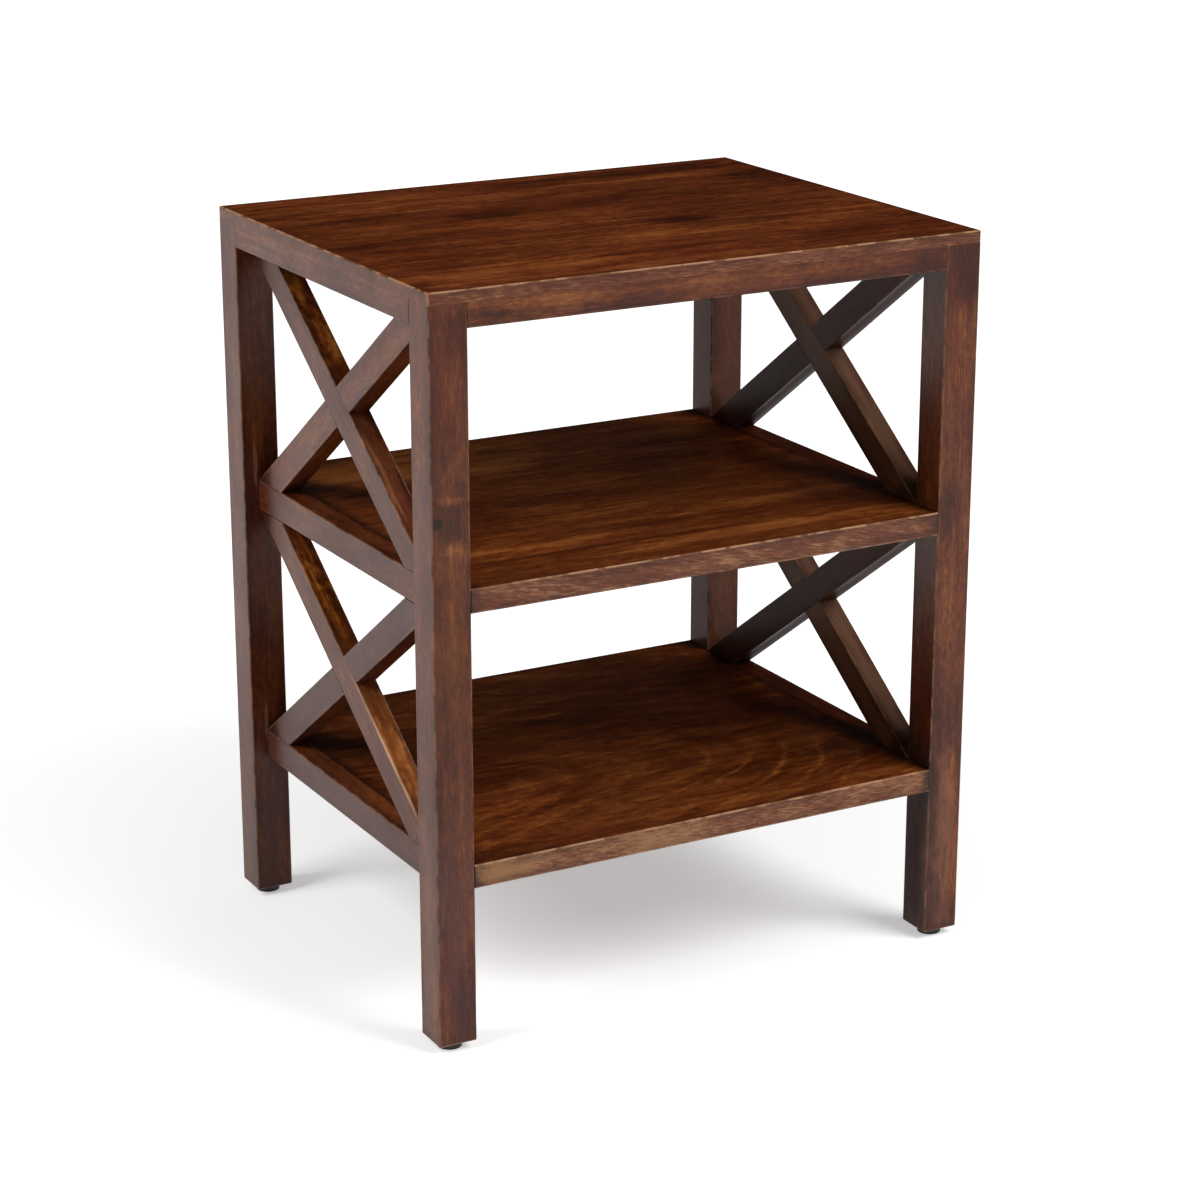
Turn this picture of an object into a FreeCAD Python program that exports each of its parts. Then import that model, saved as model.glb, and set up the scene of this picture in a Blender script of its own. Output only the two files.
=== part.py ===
import FreeCAD, Part
import Sketcher
import math
import os

# Accent table with three tiers and X braced sides.
# Millimetres. The floor is at height zero, the table stands centred on the vertical axis,
# the width runs left to right along X and the front looks towards -Y.
# Two side frames, each of two legs, three rails and two X braces, hold a top frame, a thin top board
# and two shelves. Rails are tenoned into the legs, shelves and braces meet the rails on loose tenons,
# and the braces of each X are half-lapped, so that their faces lie in one plane.

# Driving dimensions: name, value, meaning.
SIZES = [
    ("table_width", 500, "over the legs, left to right"),
    ("table_depth", 400, "over the legs, front to back"),
    ("table_height", 620, "floor to the top face"),
    ("board_thickness", 10, "top board"),
    ("board_ease", 1.4, "rounding of the top board's upper edges and corners"),
    ("leg_side", 33, "side of the square legs"),
    ("leg_ease", 1.2, "rounding of the long edge of a leg at the table's corner"),
    ("leg_bevel", 0.8, "bevel on the other long edges of a leg"),
    ("leg_foot_bevel", 0.8, "bevel round the lower end of a leg"),
    ("top_rail_height", 20, "flat rails under the top board"),
    ("side_rail_height", 26, "lower rails of the side frames"),
    ("side_thickness", 19, "side rails and braces, measured along X"),
    ("rail_bevel", 0.8, "bevel on the long edges of a rail"),
    ("shelf_thickness", 20, "both shelves"),
    ("shelf_bevel", 1, "bevel on the front and back edges of a shelf"),
    ("middle_shelf_level", 386, "top face of the middle shelf"),
    ("bottom_shelf_level", 158, "top face of the bottom shelf"),
    ("brace_width", 27, "width of a brace across its length"),
    ("brace_bevel", 0.6, "bevel on the long edges of a brace"),
    ("tenon_inset", 6, "wood left between a top rail's tenon and the outer face of the leg"),
    ("tenon_thickness", 10, "tenon on a rail, across the rail"),
    ("tenon_shoulder", 4, "shoulder above and below a rail's tenon"),
    ("tenon_gap", 3, "wood left between two tenons that meet in a leg"),
    ("mortise_play", 0.1, "play on each cheek of a tenon"),
    ("mortise_relief", 1, "room past the end of a tenon"),
    ("slip_thickness", 6, "loose tenon, a hidden tongue set in two pieces"),
    ("slip_bite", 9, "depth of a loose tenon in a rail"),
    ("shelf_slip_width", 24, "loose tenon in the end of a shelf, front to back"),
    ("shelf_slip_tail", 15, "depth of a loose tenon in a shelf"),
    ("brace_slip_width", 18, "loose tenon in the end of a brace, front to back"),
    ("brace_slip_tail", 8, "depth of a loose tenon in a brace"),
    ("screw_diameter", 4, "shank of every screw"),
    ("screw_head_diameter", 8, "head of every screw"),
    ("screw_head_height", 2.6, "head of every screw"),
    ("screw_play", 0.15, "radial play round a shank or head"),
    ("screw_relief", 0.5, "room past the end of a screw"),
    ("board_screw_bite", 6, "depth of a screw in the top board"),
    ("board_screw_cover", 12, "rail wood between a screw head and the top board"),
    ("glide_diameter", 20, "round foot"),
    ("glide_height", 7, "round foot"),
    ("glide_web", 3, "glide left above its screw head"),
    ("glide_screw_bite", 16, "depth of a glide's screw in the leg"),
    ("overrun", 1, "how far a cut runs past a face"),
]

# Places along a piece, as shares of its length between the legs.
SHELF_SLIP_SHARES = (-0.28, 0, 0.28)
CROSS_RAIL_SCREW_SHARES = (-0.25, 0.25)
SIDE_RAIL_SCREW_SHARES = (0,)
# Place of a brace's loose tenon, as a share of the brace's level end cut from its outer corner.
BRACE_SLIP_SHARE = 0.64

# Two directions within this angle, in degrees, count as parallel.
PARALLEL_ANGLE = 1

SIDES = {"left": -1, "right": 1}
ENDS = {"front": -1, "back": 1}

doc = FreeCAD.newDocument("accent_table")
sheet = doc.addObject("Spreadsheet::Sheet", "dims")
for row, (alias, value, meaning) in enumerate(SIZES, start=1):
    sheet.set("A%d" % row, alias)
    sheet.set("B%d" % row, str(value))
    sheet.set("C%d" % row, meaning)
    sheet.setAlias("B%d" % row, alias)
doc.recompute()


# Places that several pieces share, as expressions of the sheet.
HALF_WIDTH = "(dims.table_width / 2)"
HALF_DEPTH = "(dims.table_depth / 2)"
INNER_WIDTH = "(dims.table_width - 2 * dims.leg_side)"
INNER_DEPTH = "(dims.table_depth - 2 * dims.leg_side)"
BOARD_UNDERSIDE = "(dims.table_height - dims.board_thickness)"
TOP_RAIL_UNDERSIDE = "(%s - dims.top_rail_height)" % BOARD_UNDERSIDE
LEG_LENGTH = "(%s - dims.glide_height)" % BOARD_UNDERSIDE
LEG_AXIS_X = "(%s - dims.leg_side / 2)" % HALF_WIDTH
LEG_AXIS_Y = "(%s - dims.leg_side / 2)" % HALF_DEPTH
SIDE_PLANE_X = "(%s / 2 + dims.side_thickness / 2)" % INNER_WIDTH
TENON_LENGTH = "(dims.leg_side - dims.tenon_inset - dims.tenon_thickness - dims.tenon_gap)"
TENON_OFFSET = "(dims.leg_side / 2 - dims.tenon_inset - dims.tenon_thickness / 2)"
SCREW_BORE = "(dims.screw_diameter / 2 + dims.screw_play)"
SCREW_HEAD_BORE = "(dims.screw_head_diameter / 2 + dims.screw_play)"
SHELF_LEVELS = {"middle": "dims.middle_shelf_level", "bottom": "dims.bottom_shelf_level"}

# The two bays of a side frame: the level of the face below and of the face above.
BAYS = {
    "upper": ("dims.middle_shelf_level", TOP_RAIL_UNDERSIDE),
    "lower": ("dims.bottom_shelf_level", "(dims.middle_shelf_level - dims.side_rail_height)"),
}
# The end to which the brace rises that is whole on the side facing into the table.
WHOLE_INSIDE = {
    ("left", "upper"): "front", ("left", "lower"): "front",
    ("right", "upper"): "back", ("right", "lower"): "front",
}


def number(formula):
    """Present value of a formula, for what has to be a plain number."""
    result = sheet.evalExpression(formula)
    return float(getattr(result, "Value", result))


def bind(obj, **formulas):
    """Binds properties of an object to formulas."""
    for prop, formula in formulas.items():
        obj.setExpression(prop, str(formula))


def place(obj, x="0", y="0", z="0"):
    """Binds the position of an object to three formulas."""
    obj.setExpression("Placement.Base.x", str(x))
    obj.setExpression("Placement.Base.y", str(y))
    obj.setExpression("Placement.Base.z", str(z))


def signed(sign, formula):
    """The formula on the side that the sign names."""
    return "(%d * %s)" % (sign, formula)


def new_body(name, origin):
    """An empty sub-part, placed at its origin, whose label names its file."""
    body = doc.addObject("PartDesign::Body", name)
    body.Label = name
    place(body, *origin)
    return body


def make_box(box, lengths, centre):
    """Gives a box its three lengths and puts its middle at the centre."""
    bind(box, Length=lengths[0], Width=lengths[1], Height=lengths[2])
    corner = ["(%s) - (%s) / 2" % (middle, length) for middle, length in zip(centre, lengths)]
    place(box, *corner)
    return box


def block(body, name, lengths, centre, cut=False):
    """A box added to a body or cut from it."""
    kind = "PartDesign::SubtractiveBox" if cut else "PartDesign::AdditiveBox"
    box = make_box(body.newObject(kind, body.Name + "_" + name), lengths, centre)
    doc.recompute()
    return box


def bore(body, name, radius, depth, mouth):
    """A round upright hole in a body, from its mouth upwards."""
    hole = body.newObject("PartDesign::SubtractiveCylinder", body.Name + "_" + name)
    bind(hole, Radius=radius, Height=depth)
    place(hole, *mouth)
    doc.recompute()
    return hole


ALONG_X = FreeCAD.Vector(1, 0, 0)
ALONG_Y = FreeCAD.Vector(0, 1, 0)
ALONG_Z = FreeCAD.Vector(0, 0, 1)


def edges_where(feature, test):
    """Names of the edges of a feature whose middle passes a test."""
    middles = enumerate((edge.CenterOfMass for edge in feature.Shape.Edges), start=1)
    return ["Edge%d" % index for index, middle in middles if test(middle)]


def long_edges(feature, axis, test=lambda middle: True):
    """Names of the straight edges of a feature that run along an axis and pass a test."""
    names = []
    for name in edges_where(feature, test):
        edge = feature.Shape.getElement(name)
        run = edge.Vertexes[-1].Point - edge.Vertexes[0].Point
        if run.Length > 0 and abs(run.normalize().dot(axis)) > math.cos(math.radians(PARALLEL_ANGLE)):
            names.append(name)
    return names


def ease(body, feature, edges, radius):
    """Rounds the named edges of a feature."""
    fillet = body.newObject("PartDesign::Fillet", body.Name + "_ease")
    fillet.Base = (feature, edges)
    fillet.setExpression("Radius", radius)
    doc.recompute()
    return fillet


def bevel(body, feature, edges, width):
    """Bevels the named edges of a feature."""
    chamfer = body.newObject("PartDesign::Chamfer", body.Name + "_bevel")
    chamfer.Base = (feature, edges)
    chamfer.setExpression("Size", width)
    doc.recompute()
    return chamfer


# A loose tenon, called a slip here, is a small block set half in one piece and half in the next.
# It is a tuple: name, index of the axis along which it is driven in, its three lengths, its centre.

def shelf_slips(tier, side):
    """Slips between one end of a shelf and a side rail."""
    sign = SIDES[side]
    lengths = ("(dims.slip_bite + dims.shelf_slip_tail)", "dims.shelf_slip_width", "dims.slip_thickness")
    x = signed(sign, "(%s / 2 + (dims.slip_bite - dims.shelf_slip_tail) / 2)" % INNER_WIDTH)
    z = "(%s - dims.shelf_thickness / 2)" % SHELF_LEVELS[tier]
    slips = []
    for index, share in enumerate(SHELF_SLIP_SHARES):
        centre = (x, "%g * %s" % (share, INNER_DEPTH), z)
        slips.append(("%s_%s_shelf_slip_%d" % (side, tier, index), 0, lengths, centre))
    return slips


def brace_slip(side, bay, face, end):
    """Slip between a rail and the brace end that stands on the bay's floor or meets its ceiling."""
    floor, ceiling = BAYS[bay]
    shift = "(dims.slip_bite - dims.brace_slip_tail) / 2"
    z = "(%s - %s)" % (floor, shift) if face == "floor" else "(%s + %s)" % (ceiling, shift)
    lengths = ("dims.slip_thickness", "dims.brace_slip_width", "(dims.slip_bite + dims.brace_slip_tail)")
    end_cut = "(%s - %s)" % (INNER_DEPTH, brace_run(bay))
    y = signed(ENDS[end], "(%s / 2 - %g * %s)" % (INNER_DEPTH, BRACE_SLIP_SHARE, end_cut))
    centre = (signed(SIDES[side], SIDE_PLANE_X), y, z)
    return ("%s_%s_%s_%s_slip" % (side, bay, face, end), 2, lengths, centre)


def slip_mortises(body, slips, origin):
    """Cuts room for slips into a body that is placed at the origin given."""
    for name, axis, lengths, centre in slips:
        room = ["dims.mortise_relief" if index == axis else "dims.mortise_play" for index in range(3)]
        cut = ["(%s + 2 * %s)" % (length, extra) for length, extra in zip(lengths, room)]
        local = ["(%s - %s)" % (middle, start) for middle, start in zip(centre, origin)]
        block(body, name, cut, local, cut=True)


def bay_height(bay):
    """Clear height of a bay."""
    floor, ceiling = BAYS[bay]
    return "(%s - %s)" % (ceiling, floor)


def brace_run(bay):
    """Horizontal run of a brace's slanted edge from rail to rail.

    A brace is a slanted bar of the width w, cut level at both ends, that fills the bay from leg to leg:
    its outer corner at each end touches a leg. With the clear height H and the clear depth D, the level
    cut has the length w * sqrt(run^2 + H^2) / H, and run plus that length is D. Solved for the run.
    """
    height = bay_height(bay)
    root = "sqrt(pow(%s; 2) + pow(%s; 2) - pow(dims.brace_width; 2))" % (INNER_DEPTH, height)
    top = "%s * (%s * %s - dims.brace_width * %s)" % (height, INNER_DEPTH, height, root)
    return "(%s / (pow(%s; 2) - pow(dims.brace_width; 2)))" % (top, height)


def rail_screw_spots(name):
    """Places of the top board's screws on one top rail."""
    if name in ENDS:
        y = signed(ENDS[name], LEG_AXIS_Y)
        return [("%g * %s" % (share, INNER_WIDTH), y) for share in CROSS_RAIL_SCREW_SHARES]
    x = signed(SIDES[name], LEG_AXIS_X)
    return [(x, "%g * %s" % (share, INNER_DEPTH)) for share in SIDE_RAIL_SCREW_SHARES]


def make_board():
    """Top board, rounded above and at its corners, flat below, with blind holes for its screws."""
    body = new_body("top_board", ("0", "0", "%s + dims.board_thickness / 2" % BOARD_UNDERSIDE))
    lengths = ("dims.table_width", "dims.table_depth", "dims.board_thickness")
    slab = block(body, "slab", lengths, ("0", "0", "0"))
    underside = slab.Shape.BoundBox.ZMin
    ease(body, slab, edges_where(slab, lambda middle: middle.z > underside), "dims.board_ease")
    depth = "dims.overrun + dims.board_screw_bite + dims.screw_relief"
    for name in list(ENDS) + list(SIDES):
        for index, (x, y) in enumerate(rail_screw_spots(name)):
            mouth = (x, y, "-dims.board_thickness / 2 - dims.overrun")
            bore(body, "%s_screw_hole_%d" % (name, index), SCREW_BORE, depth, mouth)
    return body


def rail_screw_holes(body, name, origin):
    """Counterbored holes through a top rail that take the top board's screws from below."""
    seat = "dims.top_rail_height - dims.board_screw_cover"
    for index, (x, y) in enumerate(rail_screw_spots(name)):
        mouth = ("%s - %s" % (x, origin[0]), "%s - %s" % (y, origin[1]),
                 "-dims.top_rail_height / 2 - dims.overrun")
        bore(body, "shank_hole_%d" % index, SCREW_BORE, "dims.top_rail_height + 2 * dims.overrun", mouth)
        bore(body, "head_hole_%d" % index, SCREW_HEAD_BORE, "%s + dims.overrun" % seat, mouth)


def make_cross_top_rail(end):
    """Front or back top rail, between the legs, with a tenon on each end near the outer face."""
    sign = ENDS[end]
    origin = ("0", signed(sign, LEG_AXIS_Y), "(%s + dims.top_rail_height / 2)" % TOP_RAIL_UNDERSIDE)
    body = new_body(end + "_top_rail", origin)
    bar = block(body, "bar", (INNER_WIDTH, "dims.leg_side", "dims.top_rail_height"), ("0", "0", "0"))
    bevel(body, bar, long_edges(bar, ALONG_X, lambda middle: middle.z < 0), "dims.rail_bevel")
    block(body, "tenons",
          ("%s + 2 * %s" % (INNER_WIDTH, TENON_LENGTH), "dims.tenon_thickness",
           "dims.top_rail_height - 2 * dims.tenon_shoulder"),
          ("0", signed(sign, TENON_OFFSET), "0"))
    rail_screw_holes(body, end, origin)
    return body


def make_side_top_rail(side):
    """Left or right top rail, between the legs, which also seats the upper ends of two braces."""
    sign = SIDES[side]
    origin = (signed(sign, LEG_AXIS_X), "0", "(%s + dims.top_rail_height / 2)" % TOP_RAIL_UNDERSIDE)
    body = new_body(side + "_top_rail", origin)
    bar = block(body, "bar", ("dims.leg_side", INNER_DEPTH, "dims.top_rail_height"), ("0", "0", "0"))
    bevel(body, bar, long_edges(bar, ALONG_Y, lambda middle: middle.z < 0), "dims.rail_bevel")
    block(body, "tenons",
          ("dims.tenon_thickness", "%s + 2 * %s" % (INNER_DEPTH, TENON_LENGTH),
           "dims.top_rail_height - 2 * dims.tenon_shoulder"),
          (signed(sign, TENON_OFFSET), "0", "0"))
    rail_screw_holes(body, side, origin)
    slip_mortises(body, [brace_slip(side, "upper", "ceiling", end) for end in ENDS], origin)
    return body


def make_side_rail(side, tier):
    """Lower rail of a side frame, flush with the inner faces of the legs and with a shelf's top.

    Its edge along the shelf's top is left sharp, so that the two tops meet without a groove.
    """
    sign = SIDES[side]
    origin = (signed(sign, SIDE_PLANE_X), "0",
              "(%s - dims.side_rail_height / 2)" % SHELF_LEVELS[tier])
    body = new_body("%s_%s_side_rail" % (side, tier), origin)
    bar = block(body, "bar", ("dims.side_thickness", INNER_DEPTH, "dims.side_rail_height"), ("0", "0", "0"))
    free = long_edges(bar, ALONG_Y, lambda middle: middle.z < 0 or middle.x * sign > 0)
    bevel(body, bar, free, "dims.rail_bevel")
    block(body, "tenons",
          ("dims.tenon_thickness", "%s + 2 * %s" % (INNER_DEPTH, TENON_LENGTH),
           "dims.side_rail_height - 2 * dims.tenon_shoulder"),
          ("0", "0", "0"))
    slip_mortises(body, shelf_slips(tier, side), origin)
    seats = {"middle": (("upper", "floor"), ("lower", "ceiling")), "bottom": (("lower", "floor"),)}
    for bay, face in seats[tier]:
        slip_mortises(body, [brace_slip(side, bay, face, end) for end in ENDS], origin)
    return body


def make_leg(end, side):
    """Square leg with mortises for the rails and a hole for its glide's screw."""
    across = SIDES[side]
    along = ENDS[end]
    body = new_body("%s_%s_leg" % (end, side),
                    (signed(across, LEG_AXIS_X), signed(along, LEG_AXIS_Y), "dims.glide_height"))
    lengths = ("dims.leg_side", "dims.leg_side", LEG_LENGTH)
    post = block(body, "post", lengths, ("0", "0", "%s / 2" % LEG_LENGTH))

    def at_corner(middle):
        """Whether a point lies towards the corner of the table that the leg makes."""
        return middle.x * across > 0 and middle.y * along > 0

    rounded = ease(body, post, long_edges(post, ALONG_Z, at_corner), "dims.leg_ease")
    others = long_edges(rounded, ALONG_Z, lambda middle: middle.x * across < 0 or middle.y * along < 0)
    bevelled = bevel(body, rounded, others, "dims.leg_bevel")
    foot = edges_where(bevelled, lambda middle: middle.z < number("dims.leg_foot_bevel"))
    bevel(body, bevelled, foot, "dims.leg_foot_bevel")

    depth = "(%s + dims.mortise_relief)" % TENON_LENGTH
    reach = "(%s + dims.overrun)" % depth
    middle = "(dims.leg_side / 2 + dims.overrun - %s / 2)" % reach
    thickness = "(dims.tenon_thickness + 2 * dims.mortise_play)"
    top_height = "(dims.top_rail_height - 2 * dims.tenon_shoulder + 2 * dims.mortise_play)"
    top_level = "(%s + dims.top_rail_height / 2 - dims.glide_height)" % TOP_RAIL_UNDERSIDE
    block(body, "cross_mortise", (reach, thickness, top_height),
          (signed(-across, middle), signed(along, TENON_OFFSET), top_level), cut=True)
    block(body, "side_mortise", (thickness, reach, top_height),
          (signed(across, TENON_OFFSET), signed(-along, middle), top_level), cut=True)

    rail_plane = "(%s - %s)" % (signed(across, SIDE_PLANE_X), signed(across, LEG_AXIS_X))
    rail_height = "(dims.side_rail_height - 2 * dims.tenon_shoulder + 2 * dims.mortise_play)"
    for tier, level in SHELF_LEVELS.items():
        rail_level = "(%s - dims.side_rail_height / 2 - dims.glide_height)" % level
        block(body, tier + "_mortise", (thickness, reach, rail_height),
              (rail_plane, signed(-along, middle), rail_level), cut=True)

    bore(body, "glide_hole", SCREW_BORE,
         "dims.overrun + dims.glide_screw_bite + dims.screw_relief", ("0", "0", "-dims.overrun"))
    return body


def make_shelf(tier):
    """Shelf panel between the side frames, as deep as the table, with mortises in its end grain."""
    origin = ("0", "0", "(%s - dims.shelf_thickness / 2)" % SHELF_LEVELS[tier])
    body = new_body(tier + "_shelf", origin)
    slab = block(body, "slab", (INNER_WIDTH, "dims.table_depth", "dims.shelf_thickness"), ("0", "0", "0"))
    bevel(body, slab, long_edges(slab, ALONG_X), "dims.shelf_bevel")
    for side in SIDES:
        slip_mortises(body, shelf_slips(tier, side), origin)
    return body


def plane_of(body, role):
    """One of a body's own origin planes."""
    return next(item for item in body.Origin.OriginFeatures if item.Role == role)


def brace_outline(body, name, bay, lean):
    """Closed outline of a brace seen from the side, rising to the back when lean is 1."""
    sketch = body.newObject("Sketcher::SketchObject", body.Name + "_" + name)
    sketch.AttachmentSupport = [(plane_of(body, "YZ_Plane"), "")]
    sketch.MapMode = "FlatFace"
    half = number(INNER_DEPTH) / 2
    run = number(brace_run(bay))
    height = number(bay_height(bay))
    corners = [(-half, 0), (half - run, 0), (half, height), (run - half, height)]
    points = [FreeCAD.Vector(lean * y, z, 0) for y, z in corners]
    count = len(points)
    for index in range(count):
        sketch.addGeometry(Part.LineSegment(points[index], points[(index + 1) % count]), False)
    for index in range(count):
        sketch.addConstraint(Sketcher.Constraint("Coincident", index, 2, (index + 1) % count, 1))
    sketch.addConstraint(Sketcher.Constraint("Horizontal", 0))
    sketch.addConstraint(Sketcher.Constraint("Horizontal", 2))
    sketch.addConstraint(Sketcher.Constraint("PointOnObject", 0, 1, -1))
    places = [(0, 1, "foot", -lean), (2, 1, "head", lean)]
    for line, end, label, sign in places:
        index = sketch.addConstraint(Sketcher.Constraint("DistanceX", -1, 1, line, end, sign * half))
        sketch.renameConstraint(index, label)
        sketch.setExpression("Constraints." + label, "%d * %s / 2" % (sign, INNER_DEPTH))
    index = sketch.addConstraint(Sketcher.Constraint("DistanceY", -1, 1, 2, 1, height))
    sketch.renameConstraint(index, "rise")
    sketch.setExpression("Constraints.rise", bay_height(bay))
    for line, label in ((0, "foot_cut"), (2, "head_cut")):
        ends = (line, 1, line, 2) if (line == 0) == (lean > 0) else (line, 2, line, 1)
        index = sketch.addConstraint(Sketcher.Constraint("DistanceX", *ends, 2 * half - run))
        sketch.renameConstraint(index, label)
        sketch.setExpression("Constraints." + label, "%s - %s" % (INNER_DEPTH, brace_run(bay)))
    doc.recompute()
    return sketch


def make_brace(side, bay, end):
    """Slanted brace of one X, rising to the named end, half-lapped over its partner.

    One brace of an X is whole on the side that faces into the table, and the other one on the outside.
    """
    sign = SIDES[side]
    lean = ENDS[end]
    origin = (signed(sign, SIDE_PLANE_X), "0", BAYS[bay][0])
    body = new_body("%s_%s_brace_rising_%s" % (side, bay, end), origin)
    outline = brace_outline(body, "outline", bay, lean)
    pad = body.newObject("PartDesign::Pad", body.Name + "_pad")
    pad.Profile = outline
    pad.SideType = "Symmetric"
    pad.setExpression("Length", "dims.side_thickness")
    doc.recompute()
    slant = FreeCAD.Vector(0, lean * number(brace_run(bay)), number(bay_height(bay)))
    bevel(body, pad, long_edges(pad, slant.normalize()), "dims.brace_bevel")

    whole_volume = body.Shape.Volume
    partner = brace_outline(body, "partner_outline", bay, -lean)
    lap = body.newObject("PartDesign::Pocket", body.Name + "_lap")
    lap.Profile = partner
    lap.SideType = "One side"
    lap.Type = "Length"
    lap.setExpression("Length", "dims.side_thickness / 2 + dims.overrun")
    cut_side = sign if end == WHOLE_INSIDE[side, bay] else -sign
    lap.Reversed = cut_side > 0
    doc.recompute()
    if body.Shape.Volume >= whole_volume:
        raise RuntimeError("%s: the lap cut nothing" % body.Label)

    foot_end = "front" if end == "back" else "back"
    slips = [brace_slip(side, bay, "floor", foot_end), brace_slip(side, bay, "ceiling", end)]
    slip_mortises(body, slips, origin)
    return body


def make_glide(end, side):
    """Round foot with a counterbored hole for its screw."""
    origin = (signed(SIDES[side], LEG_AXIS_X), signed(ENDS[end], LEG_AXIS_Y))
    body = new_body("%s_%s_glide" % (end, side), origin)
    disc = body.newObject("PartDesign::AdditiveCylinder", body.Name + "_disc")
    bind(disc, Radius="dims.glide_diameter / 2", Height="dims.glide_height")
    doc.recompute()
    mouth = ("0", "0", "-dims.overrun")
    bore(body, "shank_hole", SCREW_BORE, "dims.glide_height + 2 * dims.overrun", mouth)
    bore(body, "head_hole", SCREW_HEAD_BORE, "dims.overrun + dims.glide_height - dims.glide_web", mouth)
    return body


def make_group(name, solids):
    """One sub-part made of several separate, equal solids."""
    group = doc.addObject("Part::Compound", name)
    group.Label = name
    group.Links = solids
    return group


def slip(name, lengths, centre):
    """One loose tenon."""
    return make_box(doc.addObject("Part::Box", name), lengths, centre)


def make_shelf_slips():
    """Loose tenons between the shelves and the side rails."""
    solids = []
    for tier in SHELF_LEVELS:
        for side in SIDES:
            solids += [slip(name, lengths, centre) for name, axis, lengths, centre in shelf_slips(tier, side)]
    return make_group("shelf_loose_tenons", solids)


def make_brace_slips():
    """Upright loose tenons that hold both ends of every brace to the rails."""
    solids = []
    for side in SIDES:
        for bay in BAYS:
            for face in ("floor", "ceiling"):
                for end in ENDS:
                    name, axis, lengths, centre = brace_slip(side, bay, face, end)
                    solids.append(slip(name, lengths, centre))
    return make_group("brace_loose_tenons", solids)


def screw(name, x, y, seat, grip):
    """Upright wood screw, its flat head hanging below the seat and its shank above."""
    head = doc.addObject("Part::Cylinder", name + "_head")
    bind(head, Radius="dims.screw_head_diameter / 2", Height="dims.screw_head_height")
    place(head, x, y, "%s - dims.screw_head_height" % seat)
    shank = doc.addObject("Part::Cylinder", name + "_shank")
    bind(shank, Radius="dims.screw_diameter / 2", Height=grip)
    place(shank, x, y, seat)
    whole = doc.addObject("Part::MultiFuse", name)
    whole.Shapes = [head, shank]
    return whole


def make_board_screws():
    """Screws that draw the top board down on its rails."""
    seat = "(%s - dims.board_screw_cover)" % BOARD_UNDERSIDE
    grip = "(dims.board_screw_cover + dims.board_screw_bite)"
    screws = []
    for name in list(ENDS) + list(SIDES):
        for index, (x, y) in enumerate(rail_screw_spots(name)):
            screws.append(screw("%s_board_screw_%d" % (name, index), x, y, seat, grip))
    return make_group("top_board_screws", screws)


def make_glide_screws():
    """One screw through the middle of each glide."""
    seat = "(dims.glide_height - dims.glide_web)"
    grip = "(dims.glide_web + dims.glide_screw_bite)"
    screws = []
    for end, along in ENDS.items():
        for side, across in SIDES.items():
            screws.append(screw("%s_%s_glide_screw" % (end, side), signed(across, LEG_AXIS_X),
                                signed(along, LEG_AXIS_Y), seat, grip))
    return make_group("glide_screws", screws)


def make_table():
    """Every sub-part of the table, in the order in which it goes together."""
    parts = []
    for end in ENDS:
        for side in SIDES:
            parts.append(make_leg(end, side))
    for side in SIDES:
        parts.append(make_side_top_rail(side))
        for tier in SHELF_LEVELS:
            parts.append(make_side_rail(side, tier))
        for bay in BAYS:
            for end in ENDS:
                parts.append(make_brace(side, bay, end))
    for end in ENDS:
        parts.append(make_cross_top_rail(end))
    for tier in SHELF_LEVELS:
        parts.append(make_shelf(tier))
    parts.append(make_board())
    for end in ENDS:
        for side in SIDES:
            parts.append(make_glide(end, side))
    parts += [make_shelf_slips(), make_brace_slips(), make_board_screws(), make_glide_screws()]
    return parts


def check(parts):
    """Stops when an object failed or a sub-part has no sound shape."""
    for obj in doc.Objects:
        if "Invalid" in obj.State or "Error" in obj.State:
            raise RuntimeError("%s: %s" % (obj.Name, obj.State))
    for part in parts:
        if part.Shape.isNull() or not part.Shape.isValid() or not part.Shape.Solids:
            raise RuntimeError("%s has no sound shape" % part.Label)


table = make_table()
doc.recompute()
check(table)
os.makedirs("parts", exist_ok=True)
for part in table:
    part.Shape.exportStep("parts/%s.step" % part.Label)
    print("%-36s solids %2d  volume %.1f" % (part.Label, len(part.Shape.Solids), part.Shape.Volume))
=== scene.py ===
"""Looks of a three-tier accent table: dark stained, satin lacquered mango wood on small black glides.

Metres. The floor is at height zero, the table's middle is on the Z axis and its front looks towards -Y.
Every piece of the table comes from the frame. This script gives each its finish and sets up a studio.
"""

import math

import bpy
from mathutils import Matrix, Vector


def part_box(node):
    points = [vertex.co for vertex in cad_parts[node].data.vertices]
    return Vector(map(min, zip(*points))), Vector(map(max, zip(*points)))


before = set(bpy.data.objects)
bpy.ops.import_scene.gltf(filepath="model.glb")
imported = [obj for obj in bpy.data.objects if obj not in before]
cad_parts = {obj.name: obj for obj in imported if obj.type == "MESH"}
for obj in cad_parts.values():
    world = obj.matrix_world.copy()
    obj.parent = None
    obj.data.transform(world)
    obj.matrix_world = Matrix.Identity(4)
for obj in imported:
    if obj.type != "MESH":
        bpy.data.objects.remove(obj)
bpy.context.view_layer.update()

MM = 0.001
ALONG_X = Vector((1, 0, 0))
ALONG_Y = Vector((0, 1, 0))
ALONG_Z = Vector((0, 0, 1))

# Camera: the angle, distance and aim that fit the photograph best with a plain, unshifted lens.
CAMERA_AZIMUTH = 29.08
CAMERA_ELEVATION = 17.79
CAMERA_DISTANCE = 2.676
CAMERA_AIM = Vector((0.0036, -0.0061, 0.2888))
CAMERA_LENS = 93.46

# Soft boxes: place and size in metres and power in watts.
SOFT_BOXES = {
    "front_soft_box": ((1.4, -2.1, 2.6), 1.8, 100),
    "left_soft_box": ((-2.4, 0.0, 2.2), 1.6, 62)}
LAMP_AIM = Vector((0, 0, 0.3))

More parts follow.
